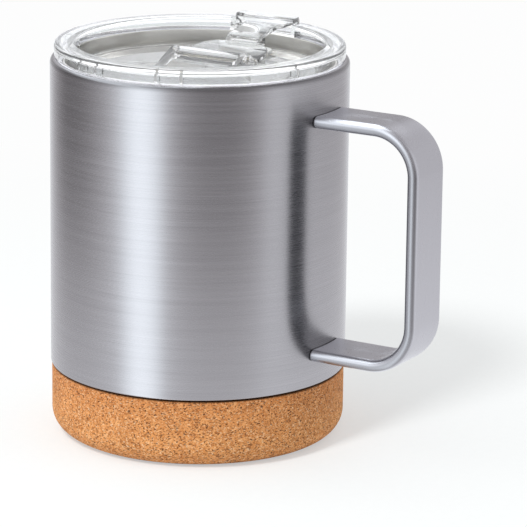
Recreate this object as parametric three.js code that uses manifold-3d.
// Insulated travel mug: double-wall steel body, strap handle, moulded cork
// base and a clear push-in lid with a flip-up lever over the drinking hole.
//
// Millimetres. Origin at the centre of the underside of the cork base.
// +Z is up, +X points along the handle, +Y points to the drinking side.
// In names, _R is a radius, _T a thickness, _Z a height and _HALF half a width along x.

import * as THREE from 'three';
import { mergeVertices } from 'three/addons/utils/BufferGeometryUtils.js';
import Module from 'manifold-3d';

// ---------------------------------------------------------------- dimensions
const GAP = 0.3;                // assembly gap between neighbouring pieces

// steel body
const BODY_R = 42.5;            // outside of the straight body
const SHELL_T = 0.6;            // outer sheet
const LINER_T = 0.5;            // inner sheet
const RIM_Z = 109.4;            // top of the rolled rim
const RIM_IN_R = 38.8;          // inner edge of the outer sheet at the rim
const LINER_R = 37.9;           // inside of the drink cavity
const CAVITY_Z = 12.0;          // inside bottom of the drink cavity
const CAVITY_FILLET = 14.0;     // bottom corner of the cavity
const FILLET_Z = CAVITY_Z + CAVITY_FILLET;
const NECK_R = 39.2;            // reduced foot that sits in the cork
const FOOT_Z = 5.0;             // lower edge of the steel foot
const LEDGE_Z = 20.3;           // step where the foot meets the body
const EDGE_R = 0.5;             // rounding of the body's lower edge
const SHOULDER_R = 1.6;         // rounding of the body into the rim

// getter, between the foot plate and the cup
const GETTER_X = 17;
const PELLET_R = 4.0;
const PELLET_Z = [8.5, 10.4];
const CLIP_HALF = 1.8;

// handle: flat strap, outer faces
const STRAP_W = 16.6;
const STRAP_T = 3.5;
const STRAP_EDGE = 1.6;         // rounding of the long edges
const STRAP_X = 74.4;           // outer face of the grip
const STRAP_TOP = 98.4;
const STRAP_BOTTOM = 27.7;
const STRAP_R_TOP = 14.0;       // outside of the upper bend
const STRAP_R_BOTTOM = 14.6;    // outside of the lower bend
const STRAP_ROOT = 6;           // raw ends reach this far inside BODY_R before scribing
const SCRIBE_EXTRA = 0.05;      // clearance to the body beyond GAP

// cork base
const CORK_R = 42.2;
const CORK_H = 19.8;
const CORK_FILLET = 6.5;
const CORK_POCKET_R = NECK_R + GAP;
const CORK_FLOOR = 4.0;
const GLUE_R = 38.6;
const GLUE_T = 0.4;

// lid
const LID_R = 41.3;             // collar outside
const LID_TOP = 113.6;
const LID_UNDER = RIM_Z + GAP;  // collar underside
const LID_EDGE_R = 1.0;         // rounding of the collar's outer top edge
const WELL_R = 35.5;            // well mouth
const WELL_EDGE_R = 0.7;        // rounding of the well mouth
const WELL_R_FLOOR = 34.7;
const WELL_CHAMFER = 0.6;       // bottom corner of the well
const WELL_FLOOR = 106.0;       // top of the floor
const FLOOR_T = 1.8;
const SKIRT_R = 37.2;
const SKIRT_FACE_R = SKIRT_R - 0.2; // skirt wall below the collar
const SKIRT_IN_R = 33.2;
const SKIRT_Z = 97.5;
const GROOVE_R = 35.2;
const GROOVE_LO = 99.3;
const GROOVE_HI = 103.3;
const CHANNEL_IN_R = SKIRT_R;   // hollow under the collar
const CHANNEL_OUT_R = 39.8;
const CHANNEL_TOP = 112.0;
const RIB_ANGLES = [-163, -114, -104, -76, -66, -17]; // degrees from +X
const RIB_T = 0.8;
const RIB_BITE = 0.4;           // overlap of a rib into the lid around it

// gasket
const GASKET_IN_R = GROOVE_R + 0.25;
const GASKET_R = 36.8;          // outside between the lips
const GASKET_LIP_R = 37.6;
const GASKET_END_GAP = 0.4;     // to the top and bottom of the groove

// spout notch, drinking hole and vent
const NOTCH_HALF = 10.2;
const NOTCH_Z = 111.2;
const SPOUT_SIDE = 1.4;         // spout block beyond each side of the notch
const HOLE_Y = 25.2;
const HOLE_HALF_X = 7.0;
const HOLE_HALF_Y = 3.0;
const VENT = { x: 9.5, y: 24.9, radius: 0.9 };
const FLOOR_CUT_Z = [100, 108]; // cutters through the lid floor

// hinge and lever
const HINGE_Y = 5.5;
const HINGE_Z = 108.6;
const BARREL_R = 1.6;
const BARREL_HALF = 10.2;
const PIN_R = 0.8;
const PIN_X = [-11.6, 12.1];
const BORE_R = 1.0;
const POST_X = [10.6, 12.3];    // inner and outer face of the +X post
const WEDGE_HALF = 10.8;
const WEDGE_CORE_HALF = 9.2;
const THUMB_HALF = 9.8;         // thumb plate
const WING_HALF = 12.3;         // flap
const LEVER_NECK_HALF = 5.4;    // neck between them
const LEVER_TOP = 115.0;
const LEVER_STOCK_Z = [100, 120]; // deeper than the lever, so only its side profile sets heights

// peg under the lever, and its socket in the stopper
const PEG_HALF_X = 4.0;
const PEG_HALF_Y = 1.2;
const PEG_Z = [107.2, 109.4];

// ------------------------------------------------------------------- helpers
const wasm = await Module();
wasm.setup();

// Six times the enclosed volume; negative when the faces point inwards.
function signedVolume(position, index) {
  const corners = [0, 1, 2].map(() => new THREE.Vector3());
  const [a, b, c] = corners;
  let volume = 0;
  for (let i = 0; i < index.length; i += 3) {
    corners.forEach((corner, k) => corner.fromBufferAttribute(position, index[i + k]));
    volume += a.dot(b.cross(c));
  }
  return volume;
}

// Closed geometry with shared vertices and outward faces.
function clean(geometry) {
  const bare = geometry.clone();
  bare.deleteAttribute('normal');
  bare.deleteAttribute('uv');
  const merged = mergeVertices(bare, 1e-4);
  const source = merged.index.array;
  const index = [];
  for (let i = 0; i < source.length; i += 3) {
    const [a, b, c] = source.subarray(i, i + 3);
    if (a !== b && b !== c && a !== c) index.push(a, b, c);
  }
  if (signedVolume(merged.attributes.position, index) < 0) {
    for (let i = 0; i < index.length; i += 3) {
      [index[i + 1], index[i + 2]] = [index[i + 2], index[i + 1]];
    }
  }
  merged.setIndex(index);
  return merged;
}

function toSolid(geometry) {
  const closed = clean(geometry);
  return new wasm.Manifold(new wasm.Mesh({
    numProp: 3,
    vertProperties: new Float32Array(closed.attributes.position.array),
    triVerts: new Uint32Array(closed.index.array),
  }));
}

function toGeometry(solid) {
  const { vertProperties, triVerts } = solid.getMesh();
  const geometry = new THREE.BufferGeometry();
  geometry.setAttribute('position', new THREE.BufferAttribute(vertProperties, 3));
  geometry.setIndex(Array.from(triVerts));
  return geometry;
}

const join = (first, ...rest) => rest.reduce((a, b) => a.add(b), first);
const cut = (first, ...rest) => rest.reduce((a, b) => a.subtract(b), first);

// Range [low, high] of the given half width about a centre.
const span = (half, centre = 0) => [centre - half, centre + half];
const middle = ([low, high]) => (low + high) / 2;
const length = ([low, high]) => high - low;

const toVectors = (points) => points.map(([x, y]) => new THREE.Vector2(x, y));

// Solid of revolution about +Z from a closed profile of [radius, z] points.
function revolve(profile, segments = 60) {
  const onAxis = profile[0][0] === 0 && profile.at(-1)[0] === 0;
  const closed = onAxis ? profile : [...profile, profile[0]];
  return new THREE.LatheGeometry(toVectors(closed), segments).rotateX(Math.PI / 2);
}

// Arc points about a centre, angles in degrees.
function arc([centreX, centreY], radius, from, to, steps) {
  const points = [];
  for (let i = 0; i <= steps; i++) {
    const angle = THREE.MathUtils.degToRad(from + (to - from) * i / steps);
    points.push([centreX + radius * Math.cos(angle), centreY + radius * Math.sin(angle)]);
  }
  return points;
}

// Box from its [low, high] range on each axis.
const box = (xRange, yRange, zRange) =>
  new THREE.BoxGeometry(length(xRange), length(yRange), length(zRange))
    .translate(middle(xRange), middle(yRange), middle(zRange));

const cylinderZ = (x, y, radius, zRange, segments = 24) =>
  new THREE.CylinderGeometry(radius, radius, length(zRange), segments)
    .rotateX(Math.PI / 2)
    .translate(x, y, middle(zRange));

// Cylinder along x on the hinge axis.
const hingeCylinder = (radius, xRange, segments = 24) =>
  new THREE.CylinderGeometry(radius, radius, length(xRange), segments)
    .rotateZ(Math.PI / 2)
    .translate(middle(xRange), HINGE_Y, HINGE_Z);

const extrude = (points, options) =>
  new THREE.ExtrudeGeometry(new THREE.Shape(toVectors(points)), options);

// Prism of a plan outline of [x, y] points.
const prismZ = (points, zRange) =>
  extrude(points, { depth: length(zRange), bevelEnabled: false }).translate(0, 0, zRange[0]);

// Prism of a side profile of [y, z] points.
const prismX = (points, xRange) =>
  extrude(points, { depth: length(xRange), bevelEnabled: false })
    .applyMatrix4(new THREE.Matrix4().makeBasis(
      new THREE.Vector3(0, 1, 0), new THREE.Vector3(0, 0, 1), new THREE.Vector3(1, 0, 0)))
    .translate(xRange[0], 0, 0);

// Round-ended outline, long along x, centred on the drinking hole.
const oblong = (halfX, halfY) => [
  ...arc([halfX - halfY, HOLE_Y], halfY, -90, 90, 8),
  ...arc([halfY - halfX, HOLE_Y], halfY, 90, 270, 8),
];

// Outline of the drinking hole, grown by a margin.
const holeOutline = (margin = 0) => oblong(HOLE_HALF_X + margin, HOLE_HALF_Y + margin);

// Loft between two outlines with the same number of points.
function loft(low, lowZ, high, highZ) {
  const count = low.length;
  const positions = [
    ...low.flatMap(([x, y]) => [x, y, lowZ]),
    ...high.flatMap(([x, y]) => [x, y, highZ]),
  ];
  const index = [];
  for (let i = 0; i < count; i++) {
    const j = (i + 1) % count;
    index.push(i, j, count + j, i, count + j, count + i);
  }
  for (let i = 1; i < count - 1; i++) {
    index.push(0, i + 1, i);
    index.push(count, count + i, count + i + 1);
  }
  const geometry = new THREE.BufferGeometry();
  geometry.setAttribute('position', new THREE.Float32BufferAttribute(positions, 3));
  geometry.setIndex(index);
  return geometry;
}

// ----------------------------------------------------------------- materials
const standard = (settings) => new THREE.MeshStandardMaterial({ metalness: 0, ...settings });
const steel = (settings) => standard({ metalness: 1, ...settings });

const materials = {
  shell: () => steel({ color: 0x9d9ba4, roughness: 0.32 }),
  plate: () => steel({ color: 0x8f9095, roughness: 0.4 }),
  liner: () => steel({ color: 0x8e8d8b, roughness: 0.35 }),
  clip: () => steel({ color: 0x9a9a9e, roughness: 0.4 }),
  strap: () => steel({ color: 0x9d9ba4, roughness: 0.3 }),
  pin: () => steel({ color: 0xc4c6ca, roughness: 0.25 }),
  solderGlass: () => standard({ color: 0x3a3f45, roughness: 0.25 }),
  pellet: () => standard({ color: 0x4b4b4f, roughness: 0.8, metalness: 0.3 }),
  cork: () => standard({ color: 0xc98a4f, roughness: 0.9 }),
  glue: () => standard({ color: 0xd9d2b8, roughness: 0.6 }),
  clear: () => standard({ color: 0xeef2f6, roughness: 0.06, transparent: true, opacity: 0.35 }),
  silicone: () => standard({ color: 0xe9ebea, roughness: 0.5 }),
};

// ---------------------------------------------------------------- steel body
// Outer sheet: straight body, rounded shoulder into the rim, foot stepped in
// to take the cork.
function outerShell() {
  const shoulder = [BODY_R - SHOULDER_R, RIM_Z - SHOULDER_R];
  return revolve([
    [NECK_R, FOOT_Z], [NECK_R, LEDGE_Z],
    ...arc([BODY_R - EDGE_R, LEDGE_Z + EDGE_R], EDGE_R, -90, 0, 2),
    ...arc(shoulder, SHOULDER_R, 0, 90, 5),
    [RIM_IN_R, RIM_Z],
    [RIM_IN_R, RIM_Z - SHELL_T],
    ...arc(shoulder, SHOULDER_R - SHELL_T, 90, 0, 3),
    [BODY_R - SHELL_T, LEDGE_Z + SHELL_T],
    [NECK_R - SHELL_T, LEDGE_Z + SHELL_T],
    [NECK_R - SHELL_T, FOOT_Z],
  ]);
}

// Pressed plate closing the foot, raised round a central port. [radius, z]
const BASE_PLATE_PROFILE = [
  [1.0, 6.6], [8.0, 6.6], [9.5, 5.1], [38.2, 5.1],
  [38.2, 5.7], [9.9, 5.7], [8.3, 7.2], [1.0, 7.2],
];

// Glass solder bead that closes the vacuum port. [radius, z]
const SEAL_BEAD_PROFILE = [[0, 5.2], [1.6, 5.3], [2.8, 5.7], [3.2, 6.3], [0, 6.3]];

// Inner sheet: straight drink cavity wall up to the rim.
const innerLiner = () => revolve([
  [LINER_R, FILLET_Z + GAP], [LINER_R, RIM_Z],
  [LINER_R + LINER_T, RIM_Z], [LINER_R + LINER_T, FILLET_Z + GAP],
]);

// Pressed cup under the inner sheet.
function linerCup() {
  const corner = [LINER_R - CAVITY_FILLET, FILLET_Z];
  return revolve([
    [0, CAVITY_Z - LINER_T],
    ...arc(corner, CAVITY_FILLET + LINER_T, -90, 0, 5),
    ...arc(corner, CAVITY_FILLET, 0, -90, 5),
    [0, CAVITY_Z],
  ]);
}

// Hat-shaped clip that holds the getter pellet under the cup. [y, z]
const CLIP_PROFILE = [
  [-7.6, 11.1], [-7.6, 10.7], [-4.8, 10.7], [-4.8, 7.7], [4.8, 7.7], [4.8, 10.7],
  [7.6, 10.7], [7.6, 11.1], [4.4, 11.1], [4.4, 8.1], [-4.4, 8.1], [-4.4, 11.1],
];

// Handle: one strap bent to a squared loop, both ends scribed to the body.
function handleStrap() {
  const rootX = BODY_R - STRAP_ROOT;
  const topBend = [STRAP_X - STRAP_R_TOP, STRAP_TOP - STRAP_R_TOP];
  const bottomBend = [STRAP_X - STRAP_R_BOTTOM, STRAP_BOTTOM + STRAP_R_BOTTOM];
  // Side outline in [x, z].
  const outline = [
    [rootX, STRAP_TOP],
    ...arc(topBend, STRAP_R_TOP, 90, 0, 8),
    ...arc(bottomBend, STRAP_R_BOTTOM, 0, -90, 8),
    [rootX, STRAP_BOTTOM],
    [rootX, STRAP_BOTTOM + STRAP_T],
    ...arc(bottomBend, STRAP_R_BOTTOM - STRAP_T, -90, 0, 8),
    ...arc(topBend, STRAP_R_TOP - STRAP_T, 0, 90, 8),
    [rootX, STRAP_TOP - STRAP_T],
  ];
  const strap = extrude(outline, {
    depth: STRAP_W - 2 * STRAP_EDGE,
    bevelEnabled: true,
    bevelThickness: STRAP_EDGE,
    bevelSize: STRAP_EDGE,
    bevelOffset: -STRAP_EDGE,
    bevelSegments: 3,
  }).translate(0, 0, -(STRAP_W / 2 - STRAP_EDGE)).rotateX(Math.PI / 2);
  const scribe = cylinderZ(0, 0, BODY_R + GAP + SCRIBE_EXTRA, [0, 130], 96);
  return toGeometry(cut(toSolid(strap), toSolid(scribe)));
}

// ----------------------------------------------------------------- cork base
const corkBase = () => revolve([
  [0, 0],
  ...arc([CORK_R - CORK_FILLET, CORK_FILLET], CORK_FILLET, -90, 0, 6),
  [CORK_R, CORK_H], [CORK_POCKET_R, CORK_H],
  [CORK_POCKET_R, CORK_FLOOR], [0, CORK_FLOOR],
]);

const glueDisc = () =>
  cylinderZ(0, 0, GLUE_R, [CORK_FLOOR + GAP, CORK_FLOOR + GAP + GLUE_T], 48);

// ----------------------------------------------------------------------- lid
// Floor, skirt with gasket groove, and hollow collar.
const lidShell = () => toSolid(revolve([
  [0, WELL_FLOOR - FLOOR_T], [SKIRT_IN_R, WELL_FLOOR - FLOOR_T],
  [SKIRT_IN_R, SKIRT_Z], [SKIRT_R - 0.6, SKIRT_Z], [SKIRT_FACE_R, SKIRT_Z + 0.5],
  [SKIRT_FACE_R, GROOVE_LO], [GROOVE_R, GROOVE_LO],
  [GROOVE_R, GROOVE_HI], [SKIRT_FACE_R, GROOVE_HI],
  [CHANNEL_IN_R, GROOVE_HI + 0.6], [CHANNEL_IN_R, CHANNEL_TOP],
  [CHANNEL_OUT_R, CHANNEL_TOP], [CHANNEL_OUT_R, LID_UNDER],
  [LID_R - 0.3, LID_UNDER], [LID_R, LID_UNDER + 0.3],
  ...arc([LID_R - LID_EDGE_R, LID_TOP - LID_EDGE_R], LID_EDGE_R, 0, 90, 3),
  ...arc([WELL_R + WELL_EDGE_R, LID_TOP - WELL_EDGE_R], WELL_EDGE_R, 90, 180, 2),
  [WELL_R_FLOOR, WELL_FLOOR + WELL_CHAMFER],
  [WELL_R_FLOOR - WELL_CHAMFER, WELL_FLOOR], [0, WELL_FLOOR],
]));

// Rib across the hollow of the collar.
const collarRib = (angle) => toSolid(box(
  [CHANNEL_IN_R - RIB_BITE, CHANNEL_OUT_R + RIB_BITE],
  span(RIB_T / 2),
  [LID_UNDER + 0.1, CHANNEL_TOP + RIB_BITE],
).rotateZ(THREE.MathUtils.degToRad(angle)));

// Solid block that closes the hollow under and beside the notch.
function spoutBlock() {
  const innerR = CHANNEL_IN_R - 0.6;
  const outerR = LID_R - 0.5;
  const block = box(span(NOTCH_HALF + SPOUT_SIDE), [30, 44], [LID_UNDER + 0.05, LID_TOP - 0.5]);
  const ring = revolve([
    [innerR, LID_UNDER], [outerR, LID_UNDER], [outerR, LID_TOP], [innerR, LID_TOP],
  ]);
  return toSolid(block).intersect(toSolid(ring));
}

// Wedge on the -Y side of the hinge, its hollow and the hinge posts. [y, z]
const WEDGE_PROFILE = [[-4.9, 105.6], [-4.7, 106.0], [1.6, 108.7], [1.9, 108.4], [1.9, 105.6]];
const WEDGE_CORE_PROFILE = [
  [-3.2, 105.2], [-3.2, 105.4], [0.7, 107.0], [0.7, 104.0], [-3.2, 104.0],
];
const POST_PROFILE = [
  [-4.9, 105.6], [-4.7, 105.95], [4.9, 110.2], [6.3, 110.2], [10.7, 107.4], [10.7, 105.6],
];

function lidBody() {
  const [postIn, postOut] = POST_X;
  const body = join(
    lidShell(),
    ...RIB_ANGLES.map(collarRib),
    spoutBlock(),
    toSolid(prismX(WEDGE_PROFILE, span(WEDGE_HALF))),
    toSolid(prismX(POST_PROFILE, POST_X)),
    toSolid(prismX(POST_PROFILE, [-postOut, -postIn])),
  );
  const cutters = [
    prismX(WEDGE_CORE_PROFILE, span(WEDGE_CORE_HALF)),
    box(span(NOTCH_HALF), [32, 44], [NOTCH_Z, 120]),
    prismZ(holeOutline(), FLOOR_CUT_Z),
    cylinderZ(VENT.x, VENT.y, VENT.radius, FLOOR_CUT_Z, 16),
    hingeCylinder(BORE_R, [-11.9, 20]), // blind in the -X post
  ];
  return toGeometry(cut(body, ...cutters.map(toSolid)));
}

// Ring in the skirt groove, with two wiping lips.
const lidGasket = () => revolve([
  [GASKET_IN_R, GROOVE_LO + GASKET_END_GAP], [GASKET_R, GROOVE_LO + GASKET_END_GAP],
  [GASKET_LIP_R, 100.4], [GASKET_R, 101.0], [GASKET_R, 101.5], [GASKET_LIP_R, 102.2],
  [GASKET_R, GROOVE_HI - GASKET_END_GAP], [GASKET_IN_R, GROOVE_HI - GASKET_END_GAP],
]);

// --------------------------------------------------------- lever and stopper
// Lever from the side, [y, z]: top face towards +Y, then underside back.
const LEVER_PROFILE = [
  [6.0, 109.8], [11.9, 107.78], [18.6, 109.06], [22.6, 109.45], [24.0, 111.4], [34.9, 113.35],
  [36.3, LEVER_TOP], [40.6, LEVER_TOP], [LID_R, LEVER_TOP - 0.6], [LID_R, 112.0], [39.9, 112.0],
  [39.6, 113.5], [36.9, 113.5], [35.6, 112.0], [27.6, 110.3], [27.3, 108.35], [22.9, 108.35],
  [22.6, 108.0], [18.9, 107.63], [11.9, 106.36], [6.0, 108.1],
];

// +X half of the lever from above, [x, y]: flap, neck, thumb plate.
const LEVER_HALF_PLAN = [
  [BARREL_HALF, 4.5], [BARREL_HALF, 11.5],
  [WING_HALF, 12.1], [12.2, 14.5], [11.7, 17.0], [10.9, 19.2], [9.6, 21.0], [7.8, 22.4],
  [LEVER_NECK_HALF, 23.2], [LEVER_NECK_HALF, 34.6],
  [THUMB_HALF, 36.1], [THUMB_HALF, 39.4], [THUMB_HALF - 1.9, 41.6],
];

// Creased flap, neck and thumb plate, with the hinge barrel and the stopper peg.
function flipLever() {
  const mirrored = LEVER_HALF_PLAN.map(([x, y]) => [-x, y]).reverse();
  const arm = toSolid(prismX(LEVER_PROFILE, span(14)))
    .intersect(toSolid(prismZ([...LEVER_HALF_PLAN, ...mirrored], LEVER_STOCK_Z)))
    .intersect(toSolid(cylinderZ(0, 0, LID_R, LEVER_STOCK_Z, 64)));
  const barrel = toSolid(hingeCylinder(BARREL_R, span(BARREL_HALF)));
  const peg = toSolid(box(span(PEG_HALF_X), span(PEG_HALF_Y, HOLE_Y), PEG_Z));
  const bore = toSolid(hingeCylinder(BORE_R, span(15)));
  return toGeometry(cut(join(arm, barrel, peg), bore));
}

// Stopper pushed on the peg: tapered plug, flange and collar, cut by the socket.
function stopperPlug() {
  const flangeZ = WELL_FLOOR + GAP;
  const plug = loft(holeOutline(-0.9), 104.4, holeOutline(-0.35), 106.5);
  const flange = prismZ(holeOutline(1.2), [flangeZ, flangeZ + 1.1]);
  const collar = prismZ(oblong(5.4, 2.2), [107.2, 108.0]);
  const socket = box(
    span(PEG_HALF_X + GAP), span(PEG_HALF_Y + GAP, HOLE_Y), [PEG_Z[0] - GAP, 112]);
  return toGeometry(cut(join(...[plug, flange, collar].map(toSolid)), toSolid(socket)));
}

// ------------------------------------------------------------------ assembly
const mug = new THREE.Group();

function add(name, geometry, material) {
  const closed = clean(geometry);
  closed.computeVertexNormals();
  const mesh = new THREE.Mesh(closed, material);
  mesh.name = name;
  mug.add(mesh);
}

add('outer_shell', outerShell(), materials.shell());
add('shell_base_plate', revolve(BASE_PLATE_PROFILE, 48), materials.plate());
add('vacuum_seal_bead', revolve(SEAL_BEAD_PROFILE, 24), materials.solderGlass());
add('inner_liner', innerLiner(), materials.liner());
add('liner_base_cup', linerCup(), materials.liner());
add('getter_pellet', cylinderZ(GETTER_X, 0, PELLET_R, PELLET_Z), materials.pellet());
add('getter_clip', prismX(CLIP_PROFILE, span(CLIP_HALF, GETTER_X)), materials.clip());
add('handle_strap', handleStrap(), materials.strap());
add('cork_base', corkBase(), materials.cork());
add('cork_glue_disc', glueDisc(), materials.glue());
add('lid_body', lidBody(), materials.clear());
add('lid_gasket', lidGasket(), materials.silicone());
add('hinge_pin', hingeCylinder(PIN_R, PIN_X, 16), materials.pin());
add('flip_lever', flipLever(), materials.clear());
add('stopper_plug', stopperPlug(), materials.silicone());

export default mug;
